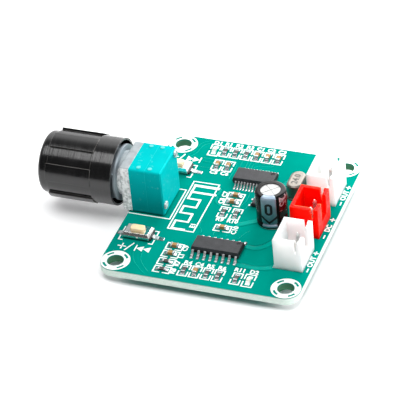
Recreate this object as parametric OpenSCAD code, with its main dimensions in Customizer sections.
// Stereo audio amplifier board with a panel volume control, two push buttons and three wire sockets.
// Millimetres. The origin is the centre of the four mounting holes on the board's underside,
// +X points to the sockets, +Y to the back row of chip parts and +Z up.

/* [Board] */
// Width of the board, along X
board_w = 41; // [40:0.5:50]
// Depth of the board, along Y
board_d = 45; // [44:0.5:55]
// Thickness of the board
board_t = 1.6; // [1:0.1:2.4]
// Radius of the board's corners
corner_r = 3; // [0.5:0.1:4]
// Distance from each mounting hole to its two nearest edges
hole_inset = 3; // [2.6:0.1:3.4]
// Diameter of the mounting holes
hole_d = 3.2; // [2.2:0.1:3.6]
// Length of the pins that stand out below the board
pin_out = 1.8; // [1.4:0.1:2.5]
// Gap between a lead and the wall of its hole
lead_gap = 0.12; // [0.05:0.01:0.2]
// Gap under each part that sits on the board
seat_gap = 0.02; // [0.01:0.01:0.1]
// Diameter of a solder joint where it meets the board
solder_d = 1.9; // [1.6:0.1:2.2]
// Height of a solder joint below the board
solder_h = 1.0; // [0.6:0.1:1.2]

/* [Volume potentiometer] */
// Overhang of the cast front plate past the board's left edge
plate_overhang = 1.1; // [0.6:0.1:2]
// Thickness of the cast front plate
plate_t = 2; // [1.5:0.1:2.5]
// Place of the shaft axis along Y
pot_y = 0.25; // [-1.5:0.05:1.5]
// Height of the shaft axis above the board
axis_h = 6.1; // [5.6:0.1:8]
// Width of the plate and the two moulded sections
pot_w = 9.3; // [9.2:0.1:10.5]
// Height of the sections' top above the shaft axis
pot_rise = 4.65; // [4.6:0.05:5.5]
// Gap between the sections and the board
pot_stand = 0.3; // [0.1:0.05:0.6]
// Depth of each moulded section, along X
section_l = 3.4; // [3.2:0.1:4]
// Thickness of the web that closes the rear of a section
web_t = 0.7; // [0.5:0.1:0.9]
// Radius of the long edges of the plate and the sections
pot_edge_r = 0.35; // [0.1:0.05:0.6]
// Bevel round the cast plate's front and the last section's rear
pot_bevel = 0.25; // [0.1:0.05:0.5]
// Diameter of the round chamber in each section
chamber_d = 8.2; // [7.8:0.1:8.3]
// Thickness of a resistive wafer
wafer_t = 0.5; // [0.4:0.05:0.6]
// Space between a rotor and its wafer
wiper_space = 0.8; // [0.6:0.05:0.9]
// Mean radius of the wiper track
wiper_r = 2.05; // [1.95:0.05:2.15]
// Width of the wiper ring
wiper_w = 0.5; // [0.3:0.05:0.5]
// Thickness of the wiper's spring sheet
wiper_t = 0.15; // [0.1:0.05:0.2]
// Width of a terminal
terminal_w = 0.8; // [0.6:0.05:1]
// Thickness of a terminal
terminal_t = 0.3; // [0.2:0.05:0.4]
// Spacing of the terminals in a row
terminal_spacing = 2.5; // [2.2:0.1:2.6]
// Distance from the shaft axis down to the terminals' upper ends
terminal_reach = 2.75; // [2.7:0.05:2.9]
// Diameter of a rivet's shank
rivet_d = 1.1; // [0.8:0.1:1.2]
// Diameter of a rivet's head
rivet_head_d = 1.7; // [1.5:0.1:1.9]
// Distance of the rivets from the shaft axis, along Y
rivet_y = 3.65; // [3.5:0.05:3.75]
// Distance of the rivets from the shaft axis, along Z
rivet_z = 3.75; // [3.6:0.05:3.8]

/* [Bushing and shaft] */
// Diameter of the bushing's threaded nose
bushing_d = 7; // [6.8:0.1:8]
// Length of the bushing in front of the plate
bushing_l = 5; // [4:0.1:5.4]
// Diameter of the boss that the washer sits on
boss_d = 9; // [8.4:0.1:9.2]
// Length of the boss
boss_l = 0.8; // [0.5:0.1:1]
// Diameter of the washer
washer_d = 11.4; // [10.5:0.1:11.6]
// Thickness of the washer
washer_t = 0.5; // [0.4:0.1:0.8]
// Width of the nut across its flats
nut_w = 10; // [9.5:0.1:10.1]
// Thickness of the nut
nut_t = 2; // [1.5:0.1:2.2]
// Gap between the bushing and the washer or nut
thread_gap = 0.1; // [0.05:0.01:0.2]
// Diameter of the shaft
shaft_d = 6; // [5.5:0.1:6.2]
// Running gap round the shaft in its bushing
shaft_gap = 0.04; // [0.02:0.01:0.08]
// Length of the shaft in front of the plate
shaft_out = 13.8; // [12:0.1:14.5]
// Depth of the flat on the shaft
flat_depth = 1.5; // [1:0.1:2]
// Diameter of the shaft's tail inside the sections
tail_d = 3.2; // [2.6:0.1:3.2]
// Width across the two flats of the tail
tail_flats = 2.4; // [2:0.1:2.5]
// Fit of the rotors and the knob on the shaft
drive_gap = 0.03; // [0.01:0.01:0.06]

/* [Knob] */
// Length of the knob
knob_l = 15.9; // [15.6:0.1:18]
// Gap between the knob's skirt and the plate
knob_gap = 1.4; // [0.8:0.1:2]
// Diameter of the rim at the knob's tip
rim_d = 12.6; // [12.4:0.1:13.4]
// Length of the rim
rim_l = 2.15; // [1.5:0.05:3]
// Rounding of the rim's edge
rim_edge = 0.8; // [0.3:0.1:1.2]
// Diameter over the raised panels of the grip
grip_d = 14.1; // [13.8:0.1:15]
// Diameter of the grip between the raised panels
sunk_d = 13.1; // [12.8:0.1:13.6]
// Length of the grip
grip_l = 9.3; // [7:0.1:9.6]
// Number of raised panels round the grip
panel_count = 6; // [4:1:8]
// Diameter of the skirt
skirt_d = 13.7; // [13.5:0.1:14.5]
// Diameter of the hollow in the skirt
hollow_d = 12.2; // [12.1:0.1:12.6]
// Depth of the hollow in the skirt
hollow_l = 4.6; // [4.4:0.1:5.5]
// Diameter of the wider mouth of the hollow
mouth_d = 12.9; // [12.7:0.1:13]
// Depth of the wider mouth
mouth_l = 3.4; // [2:0.1:4]
// Gap between the shaft's tip and the end of the knob's bore
tip_gap = 0.3; // [0.1:0.1:0.6]
// Diameter of the shallow dish in the knob's end
dish_d = 9.6; // [6:0.1:10.5]
// Depth of the dish
dish_l = 0.35; // [0.1:0.05:0.6]

/* [Wire sockets] */
// Distance from the board's right edge to the sockets' middle
socket_edge = 4.2; // [3.4:0.1:6]
// Distance between the middles of neighbouring sockets
socket_spacing = 10.6; // [8.4:0.1:13]
// Depth of a socket, along X
socket_l = 5.75; // [5.4:0.05:6.4]
// Width of a socket, along Y
socket_w = 7.4; // [7:0.1:8]
// Height of a socket
socket_h = 7; // [6.5:0.1:9]
// Thickness of a socket's walls
socket_wall = 0.75; // [0.6:0.05:0.9]
// Thickness of a socket's floor
socket_floor = 1.3; // [1:0.1:2]
// Width of the key notch at its bottom
notch_w = 2.7; // [2:0.1:3.2]
// Widening of the notch at its top, on each side
notch_flare = 0.2; // [0:0.05:0.4]
// Height of the notch's bottom above the board
notch_z = 2.5; // [2.1:0.1:4]
// Width of the slots in the short walls, at the top
slot_w = 0.9; // [0.6:0.05:1.1]
// Height of the slots' bottom above the board
slot_z = 4.4; // [3:0.1:5.5]
// Distance of the slots from the socket's middle, along X
slot_x = 1.58; // [1.3:0.02:1.7]
// Width of the flared foot
foot_w = 0.4; // [0.1:0.05:0.6]
// Height of the flared foot
foot_h = 1; // [0.5:0.1:1.2]
// Width of a square pin
pin_w = 0.64; // [0.5:0.02:0.7]
// Spacing of the two pins
pin_spacing = 2.5; // [2.3:0.1:3]
// Distance of the pin row from the socket's middle, along X
pin_x = 0.6; // [0.3:0.05:0.9]
// Height of the pin tips above the board
pin_h = 5.65; // [4.5:0.05:6.4]

/* [Electrolytic capacitor] */
// Place of the capacitor along X
cap_x = 8.5; // [7.8:0.1:9]
// Place of the capacitor along Y
cap_y = -0.3; // [-1:0.1:1]
// Diameter over the sleeve
cap_d = 6.3; // [5:0.1:6.5]
// Height of the capacitor above the board
cap_h = 7.85; // [5:0.05:11]
// Thickness of the sleeve
sleeve_t = 0.15; // [0.1:0.01:0.2]
// Diameter of the bare disc that the sleeve leaves on top
bare_d = 4; // [3:0.1:4.2]
// Height of the bare metal edge below the sleeve
bare_h = 0.3; // [0.2:0.05:0.5]
// Rounding of the top edge
cap_edge = 0.5; // [0.3:0.05:0.7]
// Height of the can's lower edge above the board
cap_lift = 0.1; // [0.05:0.05:0.4]
// Height of the rolled groove above the can's lower edge
groove_z = 1.3; // [1:0.1:1.8]
// Depth of the rolled groove
groove_l = 0.25; // [0.15:0.01:0.3]
// Height of the rolled groove
groove_h = 0.8; // [0.7:0.05:1]
// Diameter of the rubber bung
bung_d = 4.6; // [3.4:0.1:4.8]
// Height of the rubber bung
bung_h = 1.1; // [0.8:0.1:1.5]
// Diameter of a wire lead
wire_d = 0.5; // [0.4:0.05:0.6]
// Spacing of the capacitor's leads
cap_spacing = 2.5; // [2:0.1:2.8]

/* [Crystal] */
// Place of the crystal along X
crystal_x = 10.3; // [9.6:0.1:10.6]
// Place of the crystal along Y
crystal_y = 9.65; // [9.2:0.05:11]
// Width of the can
crystal_w = 3.2; // [2.8:0.1:3.6]
// Length of the can
crystal_l = 5.7; // [5:0.1:7]
// Height of the crystal above the board
crystal_h = 3.3; // [2.5:0.1:4.5]
// Rounding of the can's top edge
crystal_edge = 0.45; // [0.2:0.05:0.6]
// Overhang of the base flange round the can
flange_w = 0.25; // [0.15:0.05:0.4]
// Thickness of the base flange
flange_t = 0.45; // [0.3:0.05:0.6]
// Spacing of the crystal's leads
crystal_spacing = 2.6; // [2.4:0.1:3]

/* [Chips] */
// Place of the amplifier chip along X
amp_x = 1; // [0:0.1:2]
// Place of the amplifier chip along Y
amp_y = -11.65; // [-12.2:0.05:-11]
// Length of the amplifier chip
amp_l = 9.9; // [9.6:0.1:10.5]
// Spacing of the amplifier chip's leads
amp_spacing = 1.27; // [1.2:0.01:1.3]
// Width of the amplifier chip's leads
amp_lead_w = 0.42; // [0.3:0.02:0.5]
// Place of the radio chip along X
radio_x = 1.05; // [0.5:0.05:2]
// Place of the radio chip along Y
radio_y = 11.1; // [10.8:0.05:12]
// Length of the radio chip
radio_l = 8.65; // [8:0.05:9]
// Spacing of the radio chip's leads
radio_spacing = 0.635; // [0.6:0.005:0.65]
// Width of the radio chip's leads
radio_lead_w = 0.26; // [0.2:0.02:0.32]
// Width of both chips' bodies
chip_w = 3.9; // [3.5:0.1:4.2]
// Width of both chips over their leads
chip_span = 6; // [5.8:0.1:6.4]
// Height of the chip bodies
chip_h = 1.4; // [1.2:0.05:1.7]
// Gap between the chip bodies and the board
chip_stand = 0.12; // [0.1:0.02:0.2]
// Thickness of the leads
lead_t = 0.2; // [0.15:0.01:0.25]
// Length of the leads' feet
foot_l = 0.5; // [0.4:0.05:0.6]
// Diameter of the dimple beside the first lead
dimple_d = 0.9; // [0.5:0.1:1.2]
// Place of the regulator along X
regulator_x = 3.6; // [3.3:0.05:3.8]
// Place of the regulator along Y
regulator_y = 4.1; // [3.9:0.05:4.3]
// Length of the regulator's body, along Y
regulator_l = 2.9; // [2.6:0.1:3]
// Width of the regulator's body, along X
regulator_w = 1.5; // [1.3:0.1:1.6]
// Width of the regulator over its leads
regulator_span = 2.7; // [2.5:0.1:2.8]
// Height of the regulator's body
regulator_h = 0.95; // [0.8:0.05:1.1]
// Spacing of the regulator's paired leads
regulator_spacing = 1.9; // [1.8:0.05:2]

/* [Push buttons] */
// Distance from the board's left edge to the buttons' middle
button_edge = 4.7; // [4.4:0.1:5]
// Distance of each button from the board's middle line
button_y = 11.1; // [10:0.05:12]
// Length of the base
base_l = 6; // [5.6:0.1:6.4]
// Height of the base
base_h = 0.8; // [0.75:0.05:0.9]
// Inward step of the base below the frame's skirt
base_step = 0.4; // [0.2:0.05:0.5]
// Length of the stamped frame
frame_l = 5.6; // [5.4:0.1:5.8]
// Width of the stamped frame
frame_w = 3.4; // [3.3:0.1:4]
// Height of the stamped frame above the board
frame_h = 1.55; // [1.45:0.05:1.9]
// Inward slope of the frame's four sides
frame_lean = 0.36; // [0.3:0.02:0.44]
// Height of the frame's upright skirt
frame_skirt = 1.0; // [0.9:0.05:1.1]
// Thickness of the frame's sheet
frame_t = 0.14; // [0.1:0.01:0.16]
// Length of the cap's top
button_cap_l = 2.8; // [2.4:0.1:3]
// Width of the cap's top
button_cap_w = 1.5; // [1.2:0.05:1.6]
// Height of the cap above the frame
button_rise = 0.62; // [0.4:0.02:1]
// Travel of the cap
button_travel = 0.25; // [0.2:0.01:0.26]
// Clearance round the cap
cap_play = 0.08; // [0.05:0.01:0.1]
// Width of the shoulder that keeps the cap in
shoulder_w = 0.2; // [0.15:0.01:0.22]
// Thickness of the shoulder
shoulder_t = 0.2; // [0.15:0.01:0.22]
// Thickness of the snap dome
dome_t = 0.06; // [0.04:0.01:0.08]
// Width of a button's lead
button_lead_w = 0.9; // [0.6:0.05:1.2]
// Reach of a button's leads past its base
button_lead_l = 1.2; // [0.9:0.1:1.25]

/* [Chip resistors, capacitors and lamps] */
// Length of a chip part
chip_part_l = 1.6; // [1.4:0.05:1.7]
// Width of a chip part
chip_part_w = 0.8; // [0.7:0.05:0.9]
// Height of a chip resistor
resistor_h = 0.45; // [0.35:0.05:0.6]
// Height of a chip capacitor
ceramic_h = 0.75; // [0.5:0.05:0.9]
// Height of a lamp
lamp_h = 0.6; // [0.5:0.05:0.8]
// Length of a metal end
end_l = 0.32; // [0.25:0.02:0.4]
// Thickness of the metal on an end
end_t = 0.04; // [0.02:0.01:0.06]
// Distance of the back row from the board's back edge
back_row_edge = 3.55; // [3.2:0.05:4]
// Place of the back row's first part along X
back_row_x = -10.5; // [-11.2:0.05:-10.2]
// Spacing of the back row
back_row_spacing = 2.3; // [2.2:0.01:2.5]
// Distance of the front row from the board's front edge
front_row_edge = 3.4; // [2.6:0.05:3.6]
// Place of the front row's first part along X
front_row_x = -3.37; // [-3.6:0.01:-2.8]
// Spacing of the front row
front_row_spacing = 2.34; // [2.1:0.01:2.4]
// Place of the side column along X
column_x = -7.63; // [-8.2:0.01:-7]
// Place of the side column's first part along Y
column_y = -12.7; // [-13.6:0.05:-12.8]
// Spacing of the side column
column_spacing = 2.4; // [2.2:0.01:2.42]

/* [Hidden] */
$fn = 64;
part_cut = 1;
top_z = board_t + seat_gap;
edge_x = board_w / 2;
edge_y = board_d / 2;
hole_x = edge_x - hole_inset;
hole_y = edge_y - hole_inset;
solder_tip = 0.2;

axis_z = board_t + axis_h;
pot_z0 = board_t + pot_stand;
pot_z1 = axis_z + pot_rise;
plate_x0 = -edge_x - plate_overhang;
plate_x1 = plate_x0 + plate_t;
rivet_gap = 0.03;
rivet_head_h = 0.35;
rivet_edge = 0.2;
chamber_r = chamber_d / 2;
rotor_gap = 0.2;
rotor_t = section_l - web_t - wafer_t - wiper_space - rotor_gap;
rotor_r = chamber_r - 0.7;
stop_r = chamber_r - 0.5;
stop_root = 0.2;
lug_r = chamber_r - 0.15;
lug_root = 0.5;
stop_angle = 24;
lug_angle = 20;
tail_gap = 0.2;
wafer_gap = 0.05;
contact_gap = 0.05;
contact_d = 0.7 * wiper_w;
pip_d = 0.9;
pip_h = 0.12;
pip_y = 3.65;
pip_x = [1.9, 0.9];
tail_x1 = section_x(1) + rotor_gap + rotor_t + wiper_t;

boss_x = plate_x0 - boss_l;
washer_x = boss_x - washer_t;
nut_x = washer_x - nut_t;
nut_bevel = 0.3;
shaft_x0 = plate_x0 - shaft_out;
shaft_bevel = 0.5;
knob_x1 = plate_x0 - knob_gap;
knob_x0 = knob_x1 - knob_l;
hub_x = knob_x1 - hollow_l;
panel_turn = 11;
panel_root = 0.5;
panel_lap = 0.1;

socket_x = edge_x - socket_edge;
socket_ys = [-socket_spacing, 0, socket_spacing];
pin_tip = 0.2;
pin_taper = 0.5;
pin_gap = 0.02;

sleeve_gap = 0.01;
cap_can_r = cap_d / 2 - sleeve_t - sleeve_gap;
cap_can_z = board_t + cap_lift;
cap_can_h = cap_h - cap_lift - sleeve_t - sleeve_gap;
vent_w = 0.15;
vent_h = 0.12;
wire_out = 1.5;

radio_count = 12;
amp_count = 8;
draft = 0.2;
bend_share = 0.4;
dimple_h = 0.12;
dimple_edge = 0.95;

button_x = -edge_x + button_edge;
base_w = frame_w - 2 * frame_t - 2 * pin_gap;
base_well_wall = 0.3;
skirt_z = 0.5;
cap_corner = button_cap_w / 4;
shoulder_z1 = frame_h - frame_t - cap_play;
shoulder_z0 = shoulder_z1 - shoulder_t;
dome_d = 1.9;
dome_gap = 0.03;
dome_flat = 0.28;
base_well_z = shoulder_z0 - button_travel - dome_flat;
dome_rise = shoulder_z0 - base_well_z - dome_gap;

back_row_y = edge_y - back_row_edge;
front_row_y = -edge_y + front_row_edge;
function back_row(i) = [back_row_x + i * back_row_spacing, back_row_y, 90];
function front_row(i) = [front_row_x + i * front_row_spacing, front_row_y, 90];
function column(i) = [column_x, column_y - i * column_spacing, 0];
function section_x(i) = plate_x1 + i * section_l;
function wafer_x(i) = section_x(i) + section_l - web_t - wafer_t;
function terminal_y(j) = pot_y + (j - 1) * terminal_spacing;

// Places of the chip parts that stand outside the rows
input_places = [[-8.25, 14.35], [-5.95, 14.35]];
supply_places = [[-1.2, 5.4], [-1.2, 3.25]];
middle_places = [[-1.9, -0.1], [0.75, -0.15]];
feed_place = [-0.4, -5.05];
lamp_resistor_x = 7.3;
lamp_x = 9.87;
function lengthwise(place) = [place[0], place[1], 90];
function crosswise(place) = [place[0], place[1], 0];

// Places of all chip parts: X, Y and the turn of the long side
resistor_places = [
    for (i = [1:3]) back_row(i),
    for (i = [0, 2, 3]) front_row(i),
    for (i = [2, 3]) column(i),
    lengthwise([lamp_resistor_x, front_row_y]),
    for (place = middle_places) lengthwise(place)
];
ceramic_places = [
    for (i = [4:6]) back_row(i),
    for (i = [0, 1]) column(i),
    front_row(1),
    for (place = input_places) lengthwise(place),
    for (place = supply_places) crosswise(place),
    crosswise(feed_place)
];
lens_l = chip_part_l - 2 * end_l - 2 * end_t;
lens_taper = 2 * end_t;
lamp_places = [back_row(0), lengthwise([lamp_x, front_row_y])];

// Every lead that passes through the board: X, Y and the diameter of its round hole
function hole_for(size) = size + 2 * lead_gap;
pin_hole = hole_for(pin_w * sqrt(2));
terminal_hole = hole_for(norm([terminal_w, terminal_t]));
wire_hole = hole_for(wire_d);
pin_places = [for (y = socket_ys, s = [-1, 1]) [socket_x + pin_x, y + s * pin_spacing / 2]];
terminal_places = [for (i = [0, 1], j = [0:2]) [wafer_x(i) - terminal_t / 2, terminal_y(j)]];
wire_places = [
    for (s = [-1, 1]) [cap_x, cap_y + s * cap_spacing / 2],
    for (s = [-1, 1]) [crystal_x, crystal_y + s * crystal_spacing / 2]
];

// Outline helpers

module round_rect(w, d, r) {
    square([w - 2 * r, d], center = true);
    square([w, d - 2 * r], center = true);
    for (x = [-1, 1], y = [-1, 1])
        translate([x * (w / 2 - r), y * (d / 2 - r)])
            circle(r);
}

module obround(l, w) {
    square([l - w, w], center = true);
    for (s = [-1, 1])
        translate([s * (l - w) / 2, 0])
            circle(d = w);
}

// Half section of a round can with a rounded top edge
module can_half(r, h, edge) {
    square([r - edge, h]);
    square([r, h - edge]);
    translate([r - edge, h - edge])
        circle(edge);
}

// Extrudes an outline drawn in Y and Z along X, from x
module along_x(x, l) {
    translate([x, 0, 0])
        rotate([90, 0, 90])
            linear_extrude(l)
                children();
}

// Extrudes an outline drawn in X and Z along Y, centred on y
module along_y(y, l) {
    translate([0, y + l / 2, 0])
        rotate([90, 0, 0])
            linear_extrude(l)
                children();
}

// Turns a shape drawn along Z onto the shaft axis, starting at x
module on_axis(x) {
    translate([x, pot_y, axis_z])
        rotate([0, 90, 0])
            children();
}

// Circuit board

module board_outline() {
    round_rect(board_w, board_d, corner_r);
}

module drill(places, d) {
    for (p = places)
        translate([p[0], p[1], -part_cut])
            cylinder(d = d, h = board_t + 2 * part_cut);
}

module circuit_board() {
    color([0, 0.62, 0.55])
        difference() {
            linear_extrude(board_t)
                board_outline();
            drill([for (x = [-1, 1], y = [-1, 1]) [x * hole_x, y * hole_y]], hole_d);
            drill(pin_places, pin_hole);
            drill(terminal_places, terminal_hole);
            drill(wire_places, wire_hole);
        }
}

// A cone of solder under the board, narrowing from the pad down to the lead
module solder_cone(place, lead_size) {
    translate([place[0], place[1], -solder_h])
        cylinder(d1 = lead_size + solder_tip, d2 = solder_d, h = solder_h);
}

module solder_joints() {
    color([0.8, 0.81, 0.82]) {
        difference() {
            for (p = pin_places)
                solder_cone(p, pin_w * sqrt(2));
            for (p = pin_places)
                translate([p[0], p[1], 0])
                    cube([pin_w + 2 * pin_gap, pin_w + 2 * pin_gap, 4 * solder_h], center = true);
        }
        difference() {
            for (p = terminal_places)
                solder_cone(p, norm([terminal_w, terminal_t]));
            for (p = terminal_places)
                translate([p[0], p[1], 0])
                    cube([terminal_t + 2 * pin_gap, terminal_w + 2 * pin_gap, 4 * solder_h], center = true);
        }
        difference() {
            for (p = wire_places)
                solder_cone(p, wire_d);
            for (p = wire_places)
                translate([p[0], p[1], -2 * solder_h])
                    cylinder(d = wire_d + 2 * pin_gap, h = 4 * solder_h);
        }
    }
}

// Volume potentiometer

module pot_outline() {
    translate([pot_y, (pot_z0 + pot_z1) / 2])
        round_rect(pot_w, pot_z1 - pot_z0, pot_edge_r);
}

// Profile with two bevelled corners at x_bevel, between the levels a and b
module bevel_profile(x_flat, x_bevel, a, b) {
    inner = x_bevel > x_flat ? x_bevel - pot_bevel : x_bevel + pot_bevel;
    polygon([
        [x_flat, a], [inner, a], [x_bevel, a + pot_bevel],
        [x_bevel, b - pot_bevel], [inner, b], [x_flat, b]
    ]);
}

module bevelled_block(x_flat, x_bevel) {
    intersection() {
        along_x(min(x_flat, x_bevel), abs(x_bevel - x_flat))
            pot_outline();
        linear_extrude(2 * pot_z1)
            bevel_profile(x_flat, x_bevel, pot_y - pot_w / 2, pot_y + pot_w / 2);
        along_y(pot_y, 2 * pot_w)
            bevel_profile(x_flat, x_bevel, pot_z0, pot_z1);
    }
}

// The rivets stand at the upper back and lower front corners
module at_rivets(x) {
    for (s = [-1, 1])
        translate([x, pot_y + s * rivet_y, axis_z + s * rivet_z])
            rotate([0, 90, 0])
                children();
}

module pot_front_plate() {
    color([0.66, 0.67, 0.68])
        difference() {
            union() {
                bevelled_block(plate_x1, plate_x0);
                on_axis(boss_x)
                    cylinder(d = boss_d, h = boss_l + plate_t / 2);
                on_axis(plate_x0 - bushing_l)
                    cylinder(d = bushing_d, h = bushing_l + plate_t / 2);
            }
            on_axis(plate_x0 - bushing_l - part_cut)
                cylinder(d = shaft_d + 2 * shaft_gap, h = bushing_l + plate_t + 2 * part_cut);
            at_rivets(plate_x0 - part_cut)
                cylinder(d = rivet_d + 2 * rivet_gap, h = plate_t + 2 * part_cut);
        }
}

// A ring sector round the shaft axis, centred on an angle counted from straight down
module ring_sector(x, r0, r1, l, middle, width) {
    on_axis(x)
        rotate([0, 0, middle - width / 2])
            rotate_extrude(angle = width)
                translate([r0, 0])
                    square([r1 - r0, l]);
}

// Moulded section with a round chamber, an end stop, slots for its terminals and two pips on top
module pot_section(i, last) {
    x = section_x(i);
    color([0, 0.72, 0.7])
        difference() {
            union() {
                difference() {
                    if (last)
                        bevelled_block(x, x + section_l);
                    else
                        along_x(x, section_l)
                            pot_outline();
                    on_axis(x - part_cut)
                        cylinder(d = chamber_d, h = section_l - web_t + part_cut);
                }
                ring_sector(x, stop_r, chamber_r + stop_root, rotor_gap + rotor_t, 0, stop_angle);
                for (s = [-1, 1])
                    translate([x + pip_x[i], pot_y + s * pip_y, pot_z1 - pip_h])
                        cylinder(d = pip_d, h = 2 * pip_h);
            }
            if (!last)
                on_axis(x)
                    cylinder(d = tail_d + 2 * tail_gap, h = section_l + part_cut);
            at_rivets(x - part_cut)
                cylinder(d = rivet_d + 2 * rivet_gap, h = section_l + 2 * part_cut);
            for (j = [0:2])
                translate([
                    wafer_x(i) - terminal_t - lead_gap,
                    terminal_y(j) - terminal_w / 2 - lead_gap,
                    pot_z0 - part_cut
                ])
                    cube([
                        terminal_t + lead_gap,
                        terminal_w + 2 * lead_gap,
                        axis_z - terminal_reach + lead_gap - pot_z0 + part_cut
                    ]);
        }
}

module pot_front_section() {
    pot_section(0, false);
}

module pot_rear_section() {
    pot_section(1, true);
}

module pot_rivets() {
    color([0.78, 0.78, 0.77])
        union() {
            at_rivets(plate_x0 + pot_bevel)
                cylinder(d = rivet_d, h = section_x(2) - plate_x0 - pot_bevel + rivet_head_h / 2);
            at_rivets(section_x(2))
                rotate_extrude()
                    intersection() {
                        can_half(rivet_head_d / 2, rivet_head_h, rivet_edge);
                        square([rivet_head_d, rivet_head_h]);
                    }
        }
}

module pot_wafers() {
    color([0.55, 0.4, 0.25])
        for (i = [0, 1])
            on_axis(wafer_x(i))
                difference() {
                    cylinder(d = chamber_d - 2 * wafer_gap, h = wafer_t);
                    translate([0, 0, -part_cut])
                        cylinder(d = tail_d + 2 * tail_gap, h = wafer_t + 2 * part_cut);
                }
}

module pot_terminals() {
    color([0.82, 0.82, 0.8])
        for (p = terminal_places)
            translate([p[0] - terminal_t / 2, p[1] - terminal_w / 2, -pin_out])
                cube([terminal_t, terminal_w, pin_out + axis_z - terminal_reach]);
}

// Section of the shaft's tail, with two flats, widened by gap
module tail_outline(gap) {
    intersection() {
        circle(d = tail_d + 2 * gap);
        square([2 * tail_d, tail_flats + 2 * gap], center = true);
    }
}

module pot_rotors() {
    color([0.12, 0.12, 0.13])
        for (i = [0, 1])
            difference() {
                union() {
                    on_axis(section_x(i) + rotor_gap)
                        cylinder(r = rotor_r, h = rotor_t);
                    ring_sector(section_x(i) + rotor_gap, rotor_r - lug_root, lug_r, rotor_t, 180, lug_angle);
                }
                on_axis(section_x(i))
                    linear_extrude(section_l)
                        tail_outline(drive_gap);
            }
}

// Spring ring on the rotor's face, with two contacts that reach for the wafer
module pot_wipers() {
    color([0.85, 0.7, 0.35])
        for (i = [0, 1])
            on_axis(section_x(i) + rotor_gap + rotor_t) {
                difference() {
                    cylinder(r = wiper_r + wiper_w / 2, h = wiper_t);
                    translate([0, 0, -part_cut])
                        cylinder(r = wiper_r - wiper_w / 2, h = wiper_t + 2 * part_cut);
                }
                for (s = [-1, 1])
                    translate([s * wiper_r, 0, 0])
                        cylinder(d = contact_d, h = wiper_space - contact_gap);
            }
}

// Round shaft with one flat, widened by gap
module flat_outline(gap) {
    intersection() {
        circle(d = shaft_d + 2 * gap);
        translate([flat_depth - gap - shaft_d / 2, -shaft_d])
            square([2 * shaft_d, 2 * shaft_d]);
    }
}

module volume_shaft() {
    color([0.75, 0.75, 0.74])
        union() {
            intersection() {
                on_axis(shaft_x0)
                    linear_extrude(hub_x - shaft_x0)
                        flat_outline(0);
                on_axis(shaft_x0)
                    cylinder(d1 = shaft_d - 2 * shaft_bevel, d2 = shaft_d + 2 * shaft_out,
                        h = shaft_out + shaft_bevel);
            }
            on_axis(hub_x)
                cylinder(d = shaft_d, h = plate_x1 - hub_x);
            on_axis(plate_x1 - shaft_d / 2)
                linear_extrude(tail_x1 - plate_x1 + shaft_d / 2)
                    tail_outline(0);
        }
}

module bushing_washer() {
    color([0.75, 0.8, 0.82])
        on_axis(washer_x)
            difference() {
                cylinder(d = washer_d, h = washer_t);
                translate([0, 0, -part_cut])
                    cylinder(d = bushing_d + 2 * thread_gap, h = washer_t + 2 * part_cut);
            }
}

module bushing_nut() {
    corner_d = nut_w * 2 / sqrt(3);
    color([0.72, 0.76, 0.78])
        on_axis(nut_x)
            difference() {
                intersection() {
                    cylinder(d = corner_d, h = nut_t, $fn = 6);
                    cylinder(d1 = corner_d - 2 * nut_bevel, d2 = corner_d + 4 * nut_t, h = nut_t);
                }
                translate([0, 0, -part_cut])
                    cylinder(d = bushing_d + 2 * thread_gap, h = nut_t + 2 * part_cut);
            }
}

module knob_half() {
    square([rim_d / 2 - rim_edge, rim_l]);
    translate([0, rim_edge])
        square([rim_d / 2, rim_l - rim_edge]);
    translate([rim_d / 2 - rim_edge, rim_edge])
        circle(rim_edge);
    translate([0, rim_l])
        square([sunk_d / 2, grip_l]);
    translate([0, rim_l + grip_l])
        square([skirt_d / 2, knob_l - rim_l - grip_l]);
}

// Knob with raised panels round its grip, a thin hollow skirt over the nut and a bore with a flat
module volume_knob() {
    color([0.13, 0.13, 0.14])
        difference() {
            union() {
                on_axis(knob_x0)
                    rotate_extrude()
                        knob_half();
                for (k = [0:panel_count - 1])
                    ring_sector(knob_x0 + rim_l - panel_lap, sunk_d / 2 - panel_root, grip_d / 2,
                        grip_l + 2 * panel_lap, panel_turn + k * 360 / panel_count, 180 / panel_count);
            }
            on_axis(hub_x)
                cylinder(d = hollow_d, h = hollow_l + part_cut);
            on_axis(hub_x + hollow_l - mouth_l)
                cylinder(d = mouth_d, h = mouth_l + part_cut);
            on_axis(shaft_x0 - tip_gap)
                linear_extrude(hub_x - shaft_x0 + tip_gap + part_cut)
                    flat_outline(drive_gap);
            on_axis(knob_x0 - part_cut)
                cylinder(d = dish_d, h = dish_l + part_cut);
        }
}

// Wire sockets

module socket_block() {
    translate([-socket_l / 2, -socket_w / 2, 0])
        cube([socket_l, socket_w, socket_h]);
    along_y(0, socket_w)
        polygon([
            [-socket_l / 2 - foot_w, 0], [-socket_l / 2 + socket_wall, 0],
            [-socket_l / 2 + socket_wall, foot_h], [-socket_l / 2, foot_h]
        ]);
}

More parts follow.
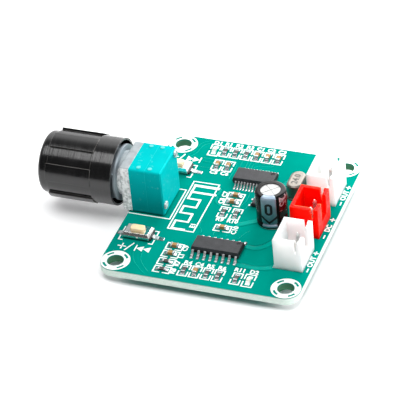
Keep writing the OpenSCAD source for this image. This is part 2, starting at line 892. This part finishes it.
// Open-topped shell: a full wall at the back, a key notch at the edge side and a slot in each short wall
module socket_shell(y) {
    translate([socket_x, y, top_z])
        difference() {
            socket_block();
            translate([-socket_l / 2 + socket_wall, -socket_w / 2 + socket_wall, socket_floor])
                cube([socket_l - 2 * socket_wall, socket_w - 2 * socket_wall, socket_h]);
            along_x(socket_l / 2 - socket_wall - part_cut / 2, socket_wall + part_cut)
                polygon([
                    [-notch_w / 2, notch_z], [notch_w / 2, notch_z],
                    [notch_w / 2 + notch_flare, socket_h + part_cut],
                    [-notch_w / 2 - notch_flare, socket_h + part_cut]
                ]);
            along_y(0, 2 * socket_w)
                polygon([
                    [slot_x - slot_w / 4, slot_z], [slot_x + slot_w / 4, slot_z],
                    [slot_x + slot_w / 2, socket_h + part_cut],
                    [slot_x - slot_w / 2, socket_h + part_cut]
                ]);
            for (s = [-1, 1])
                translate([pin_x, s * pin_spacing / 2, 0])
                    cube([pin_w + 2 * pin_gap, pin_w + 2 * pin_gap, 4 * socket_floor], center = true);
        }
}

module pin_profile() {
    z1 = board_t + pin_h;
    polygon([
        [-pin_w / 2, -pin_out + pin_taper], [-pin_w / 2 + pin_tip, -pin_out],
        [pin_w / 2 - pin_tip, -pin_out], [pin_w / 2, -pin_out + pin_taper],
        [pin_w / 2, z1 - pin_taper], [pin_w / 2 - pin_tip, z1],
        [-pin_w / 2 + pin_tip, z1], [-pin_w / 2, z1 - pin_taper]
    ]);
}

module socket_pins(y) {
    color([0.85, 0.85, 0.82])
        for (s = [-1, 1])
            translate([socket_x + pin_x, y + s * pin_spacing / 2, 0])
                intersection() {
                    along_x(-pin_w / 2, pin_w)
                        pin_profile();
                    along_y(0, pin_w)
                        pin_profile();
                }
}

module front_socket_shell() {
    color([0.94, 0.94, 0.93])
        socket_shell(socket_ys[0]);
}

module front_socket_pins() {
    socket_pins(socket_ys[0]);
}

module power_socket_shell() {
    color([0.95, 0.06, 0.03])
        socket_shell(socket_ys[1]);
}

module power_socket_pins() {
    socket_pins(socket_ys[1]);
}

module back_socket_shell() {
    color([0.94, 0.94, 0.93])
        socket_shell(socket_ys[2]);
}

module back_socket_pins() {
    socket_pins(socket_ys[2]);
}

// Electrolytic capacitor

module at_cap(z) {
    translate([cap_x, cap_y, z])
        children();
}

// Half section of a rolled groove, l deep and h high, in a wall of radius r
module rolled_groove(r, z, l, h) {
    roll_r = (h * h / 4 + l * l) / (2 * l);
    translate([r + roll_r - l, z])
        circle(roll_r);
}

// Aluminium can with a rolled groove, a seat for the bung and a scored top
module capacitor_can() {
    color([0.87, 0.87, 0.86])
        at_cap(cap_can_z)
            difference() {
                rotate_extrude()
                    difference() {
                        intersection() {
                            can_half(cap_can_r, cap_can_h, cap_edge - sleeve_t);
                            square([cap_d, cap_h]);
                        }
                        rolled_groove(cap_can_r, groove_z, groove_l, groove_h);
                    }
                translate([0, 0, -part_cut])
                    cylinder(d = bung_d + 2 * pin_gap, h = bung_h - cap_lift + pin_gap + part_cut);
                for (a = [0, 90])
                    rotate([0, 0, a + 45])
                        translate([-bare_d / 2, -vent_w / 2, cap_can_h - vent_h])
                            cube([bare_d, vent_w, 2 * vent_h]);
            }
}

// Shrunk sleeve that follows the groove and turns in over the can's top edge
module capacitor_sleeve() {
    color([0.1, 0.1, 0.11])
        at_cap(cap_can_z + bare_h)
            difference() {
                rotate_extrude()
                    difference() {
                        intersection() {
                            can_half(cap_d / 2, cap_h - cap_lift - bare_h, cap_edge);
                            square([cap_d, cap_h]);
                        }
                        rolled_groove(cap_d / 2, groove_z - bare_h, groove_l, groove_h - sleeve_t);
                    }
                rotate_extrude()
                    difference() {
                        can_half(cap_can_r + sleeve_gap, cap_can_h + sleeve_gap - bare_h,
                            cap_edge - sleeve_t);
                        rolled_groove(cap_can_r, groove_z - bare_h, groove_l - sleeve_gap,
                            groove_h - 2 * sleeve_gap);
                    }
                translate([0, 0, -part_cut])
                    cylinder(r = cap_can_r + sleeve_gap, h = part_cut + sleeve_t);
                cylinder(d = bare_d, h = cap_h);
            }
}

module capacitor_bung() {
    color([0.16, 0.16, 0.16])
        at_cap(top_z)
            difference() {
                cylinder(d = bung_d, h = bung_h - seat_gap);
                for (s = [-1, 1])
                    translate([0, s * cap_spacing / 2, -part_cut])
                        cylinder(d = wire_d + 2 * pin_gap, h = bung_h + 2 * part_cut);
            }
}

// A straight round lead from below the board up to z
module wire_lead(x, y, z) {
    translate([x, y, -wire_out])
        cylinder(d = wire_d, h = wire_out + z);
}

module capacitor_leads() {
    color([0.82, 0.82, 0.8])
        for (s = [-1, 1])
            wire_lead(cap_x, cap_y + s * cap_spacing / 2, board_t + bung_h - seat_gap);
}

// Crystal

module at_crystal(z) {
    translate([crystal_x, crystal_y, z])
        children();
}

// Drawn can with round ends and a rounded top edge
module crystal_can() {
    can_r = crystal_w / 2;
    can_h = crystal_h - flange_t - 2 * seat_gap;
    straight = crystal_l - crystal_w;
    color([0.84, 0.82, 0.79])
        at_crystal(top_z + flange_t + seat_gap) {
            for (s = [-1, 1])
                translate([0, s * straight / 2, 0])
                    rotate_extrude()
                        intersection() {
                            can_half(can_r, can_h, crystal_edge);
                            square([crystal_w, crystal_h]);
                        }
            along_y(0, straight)
                for (m = [0, 1])
                    mirror([m, 0])
                        can_half(can_r, can_h, crystal_edge);
        }
}

module crystal_base() {
    color([0.78, 0.77, 0.74])
        at_crystal(top_z)
            difference() {
                linear_extrude(flange_t)
                    rotate(90)
                        obround(crystal_l + 2 * flange_w, crystal_w + 2 * flange_w);
                for (s = [-1, 1])
                    translate([0, s * crystal_spacing / 2, -part_cut])
                        cylinder(d = wire_d + 2 * pin_gap, h = flange_t + 2 * part_cut);
            }
}

module crystal_leads() {
    color([0.82, 0.82, 0.8])
        for (s = [-1, 1])
            wire_lead(crystal_x, crystal_y + s * crystal_spacing / 2, top_z + flange_t);
}

// Chips

module draft_profile(l, h) {
    polygon([
        [-l / 2 + draft, 0], [l / 2 - draft, 0], [l / 2, h / 2],
        [l / 2 - draft, h], [-l / 2 + draft, h], [-l / 2, h / 2]
    ]);
}

// Moulded package that tapers up and down from its parting line
module package(l, w, h) {
    intersection() {
        along_y(0, w)
            draft_profile(l, h);
        along_x(-l / 2, l)
            draft_profile(w, h);
    }
}

// Side view of a bent lead: out of the package at mid height, down, and out again as a foot
module gull_profile(w, span, stand, h) {
    a = w / 2;
    b = span / 2;
    z = stand + h / 2;
    bend = a + (b - foot_l - a) * bend_share;
    polygon([
        [a, z - lead_t / 2], [a, z + lead_t / 2], [bend, z + lead_t / 2],
        [b - foot_l + lead_t, lead_t], [b, lead_t], [b, 0],
        [b - foot_l, 0], [bend - lead_t, z - lead_t / 2]
    ]);
}

// A row of leads on both long sides, spaced along X
module lead_rows(count, pitch, lead_w, w, span, stand, h) {
    for (i = [0:count - 1], m = [0, 1])
        translate([(i - (count - 1) / 2) * pitch - lead_w / 2, 0, 0])
            mirror([0, m, 0])
                along_x(0, lead_w)
                    gull_profile(w, span, stand, h);
}

module dimpled_package(l) {
    color([0.26, 0.26, 0.28])
        difference() {
            package(l, chip_w, chip_h);
            translate([l / 2 - dimple_edge, chip_w / 2 - dimple_edge, chip_h - dimple_h])
                cylinder(d = dimple_d, h = 2 * dimple_h);
        }
}

module amplifier_chip() {
    translate([amp_x, amp_y, board_t + chip_stand])
        dimpled_package(amp_l);
}

module amplifier_leads() {
    color([0.85, 0.85, 0.83])
        translate([amp_x, amp_y, top_z])
            lead_rows(amp_count, amp_spacing, amp_lead_w, chip_w, chip_span, chip_stand - seat_gap, chip_h);
}

module radio_chip() {
    translate([radio_x, radio_y, board_t + chip_stand])
        dimpled_package(radio_l);
}

module radio_leads() {
    color([0.85, 0.85, 0.83])
        translate([radio_x, radio_y, top_z])
            lead_rows(radio_count, radio_spacing, radio_lead_w, chip_w, chip_span,
                chip_stand - seat_gap, chip_h);
}

module regulator_chip() {
    color([0.3, 0.3, 0.31])
        translate([regulator_x, regulator_y, board_t + chip_stand])
            package(regulator_w, regulator_l, regulator_h);
}

module regulator_leads() {
    color([0.85, 0.85, 0.83])
        translate([regulator_x, regulator_y, top_z])
            for (place = [[1, -regulator_spacing / 2], [1, regulator_spacing / 2], [0, 0]])
                mirror([place[0], 0, 0])
                    along_y(place[1], amp_lead_w)
                        gull_profile(regulator_w, regulator_span, chip_stand - seat_gap, regulator_h);
}

// Push buttons

module at_button(side) {
    translate([button_x, side * button_y, top_z])
        children();
}

// Black base with a well for the snap dome, stepped in below the frame's skirt
module button_base(side) {
    color([0.08, 0.08, 0.09])
        at_button(side)
            difference() {
                union() {
                    translate([-base_l / 2, -base_w / 2, skirt_z])
                        cube([base_l, base_w, base_h - skirt_z]);
                    translate([-base_l / 2, -base_w / 2 + base_step, 0])
                        cube([base_l, base_w - 2 * base_step, base_h]);
                }
                translate([0, 0, base_well_z])
                    linear_extrude(base_h)
                        square([frame_l - 2 * frame_lean - 2 * base_well_wall,
                            base_w - 2 * base_well_wall], center = true);
            }
}

// Side view of the frame: an upright skirt, then a slope up to the flat top, shrunk by t
module frame_profile(w, z0, t) {
    a = w / 2 - t;
    polygon([
        [-a, z0], [a, z0], [a, frame_skirt],
        [a - frame_lean, frame_h - t], [-a + frame_lean, frame_h - t], [-a, frame_skirt]
    ]);
}

module frame_form(z0, t) {
    intersection() {
        along_x(-frame_l, 2 * frame_l)
            frame_profile(frame_w, z0, t);
        along_y(0, 2 * frame_w)
            frame_profile(frame_l, z0, t);
    }
}

// Stamped sheet frame, open for the cap, cut away at both ends where the base comes through
module button_frame(side) {
    color([0.8, 0.79, 0.77])
        at_button(side)
            difference() {
                frame_form(skirt_z, 0);
                frame_form(skirt_z - part_cut, frame_t);
                translate([-base_l, -base_w / 2 - pin_gap, -part_cut])
                    cube([2 * base_l, base_w + 2 * pin_gap, base_h + pin_gap + part_cut]);
                linear_extrude(2 * frame_h)
                    round_rect(button_cap_l + 2 * cap_play, button_cap_w + 2 * cap_play, cap_corner);
            }
}

// Oblong cap with a shoulder that the frame holds down
module button_cap(side) {
    color([0.98, 0.9, 0.68])
        at_button(side)
            union() {
                translate([0, 0, shoulder_z0])
                    linear_extrude(frame_h + button_rise - shoulder_z0)
                        round_rect(button_cap_l, button_cap_w, cap_corner);
                translate([0, 0, shoulder_z0])
                    linear_extrude(shoulder_t)
                        square([button_cap_l + 2 * shoulder_w, button_cap_w + 2 * shoulder_w], center = true);
            }
}

// Snap dome: a shallow spherical sheet that stands in the well
module button_dome(side) {
    r = (dome_d * dome_d / 4 + dome_rise * dome_rise) / (2 * dome_rise);
    color([0.85, 0.72, 0.42])
        at_button(side)
            translate([0, 0, base_well_z + pin_gap])
                rotate_extrude()
                    intersection() {
                        translate([0, dome_rise - pin_gap - r])
                            difference() {
                                circle(r);
                                circle(r - dome_t);
                            }
                        square([dome_d, dome_rise]);
                    }
}

// Bent strip leads from both ends of the base
module button_leads(side) {
    z = base_h / 2;
    x0 = base_l / 2;
    x1 = x0 + button_lead_l;
    color([0.85, 0.85, 0.83])
        at_button(side)
            for (m = [0, 1])
                mirror([m, 0, 0])
                    along_y(0, button_lead_w)
                        polygon([
                            [x0, z - lead_t / 2], [x0, z + lead_t / 2], [x0 + lead_t, z + lead_t / 2],
                            [x0 + 2 * lead_t, lead_t], [x1, lead_t], [x1, 0],
                            [x0 + lead_t, 0], [x0 + lead_t / 2, z - lead_t / 2]
                        ]);
}

module front_button_base() {
    button_base(-1);
}

module front_button_frame() {
    button_frame(-1);
}

module front_button_cap() {
    button_cap(-1);
}

module front_button_dome() {
    button_dome(-1);
}

module front_button_leads() {
    button_leads(-1);
}

module back_button_base() {
    button_base(1);
}

module back_button_frame() {
    button_frame(1);
}

module back_button_cap() {
    button_cap(1);
}

module back_button_dome() {
    button_dome(1);
}

module back_button_leads() {
    button_leads(1);
}

// Chip resistors, capacitors and lamps

module at_places(places) {
    for (p = places)
        translate([p[0], p[1], top_z])
            rotate([0, 0, p[2]])
                children();
}

module centred_block(l, w, z, h) {
    translate([-l / 2, -w / 2, z])
        cube([l, w, h]);
}

// Ceramic block that stands inside its two metal ends
module chip_core(h) {
    centred_block(chip_part_l - 2 * end_t, chip_part_w - 2 * end_t, end_t, h - 2 * end_t);
}

// Metal ends that wrap round both ends of the block
module chip_ends(h) {
    difference() {
        for (s = [-1, 1])
            translate([s * (chip_part_l - end_l) / 2, 0, 0])
                centred_block(end_l, chip_part_w, 0, h);
        chip_core(h);
    }
}

module chip_resistors() {
    color([0.2, 0.2, 0.22])
        at_places(resistor_places)
            chip_core(resistor_h);
}

module chip_resistor_ends() {
    color([0.86, 0.86, 0.85])
        at_places(resistor_places)
            chip_ends(resistor_h);
}

module chip_capacitors() {
    color([0.72, 0.55, 0.36])
        at_places(ceramic_places)
            chip_core(ceramic_h);
}

module chip_capacitor_ends() {
    color([0.86, 0.86, 0.85])
        at_places(ceramic_places)
            chip_ends(ceramic_h);
}

module lamp_bases() {
    color([0.92, 0.92, 0.88])
        at_places(lamp_places)
            chip_core(lamp_h / 2);
}

module lamp_lenses() {
    color([0.95, 0.93, 0.7])
        at_places(lamp_places)
            along_y(0, chip_part_w - 2 * end_t)
                translate([0, lamp_h / 2])
                    polygon([
                        [-lens_l / 2, 0], [lens_l / 2, 0],
                        [lens_l / 2 - lens_taper, lamp_h / 2], [-lens_l / 2 + lens_taper, lamp_h / 2]
                    ]);
}

module lamp_ends() {
    color([0.88, 0.86, 0.8])
        at_places(lamp_places)
            chip_ends(lamp_h / 2);
}

circuit_board();
solder_joints();
pot_front_plate();
pot_front_section();
pot_rear_section();
pot_rivets();
pot_wafers();
pot_terminals();
pot_rotors();
pot_wipers();
volume_shaft();
bushing_washer();
bushing_nut();
volume_knob();
front_socket_shell();
front_socket_pins();
power_socket_shell();
power_socket_pins();
back_socket_shell();
back_socket_pins();
capacitor_can();
capacitor_sleeve();
capacitor_bung();
capacitor_leads();
crystal_can();
crystal_base();
crystal_leads();
amplifier_chip();
amplifier_leads();
radio_chip();
radio_leads();
regulator_chip();
regulator_leads();
front_button_base();
front_button_frame();
front_button_cap();
front_button_dome();
front_button_leads();
back_button_base();
back_button_frame();
back_button_cap();
back_button_dome();
back_button_leads();
chip_resistors();
chip_resistor_ends();
chip_capacitors();
chip_capacitor_ends();
lamp_bases();
lamp_lenses();
lamp_ends();
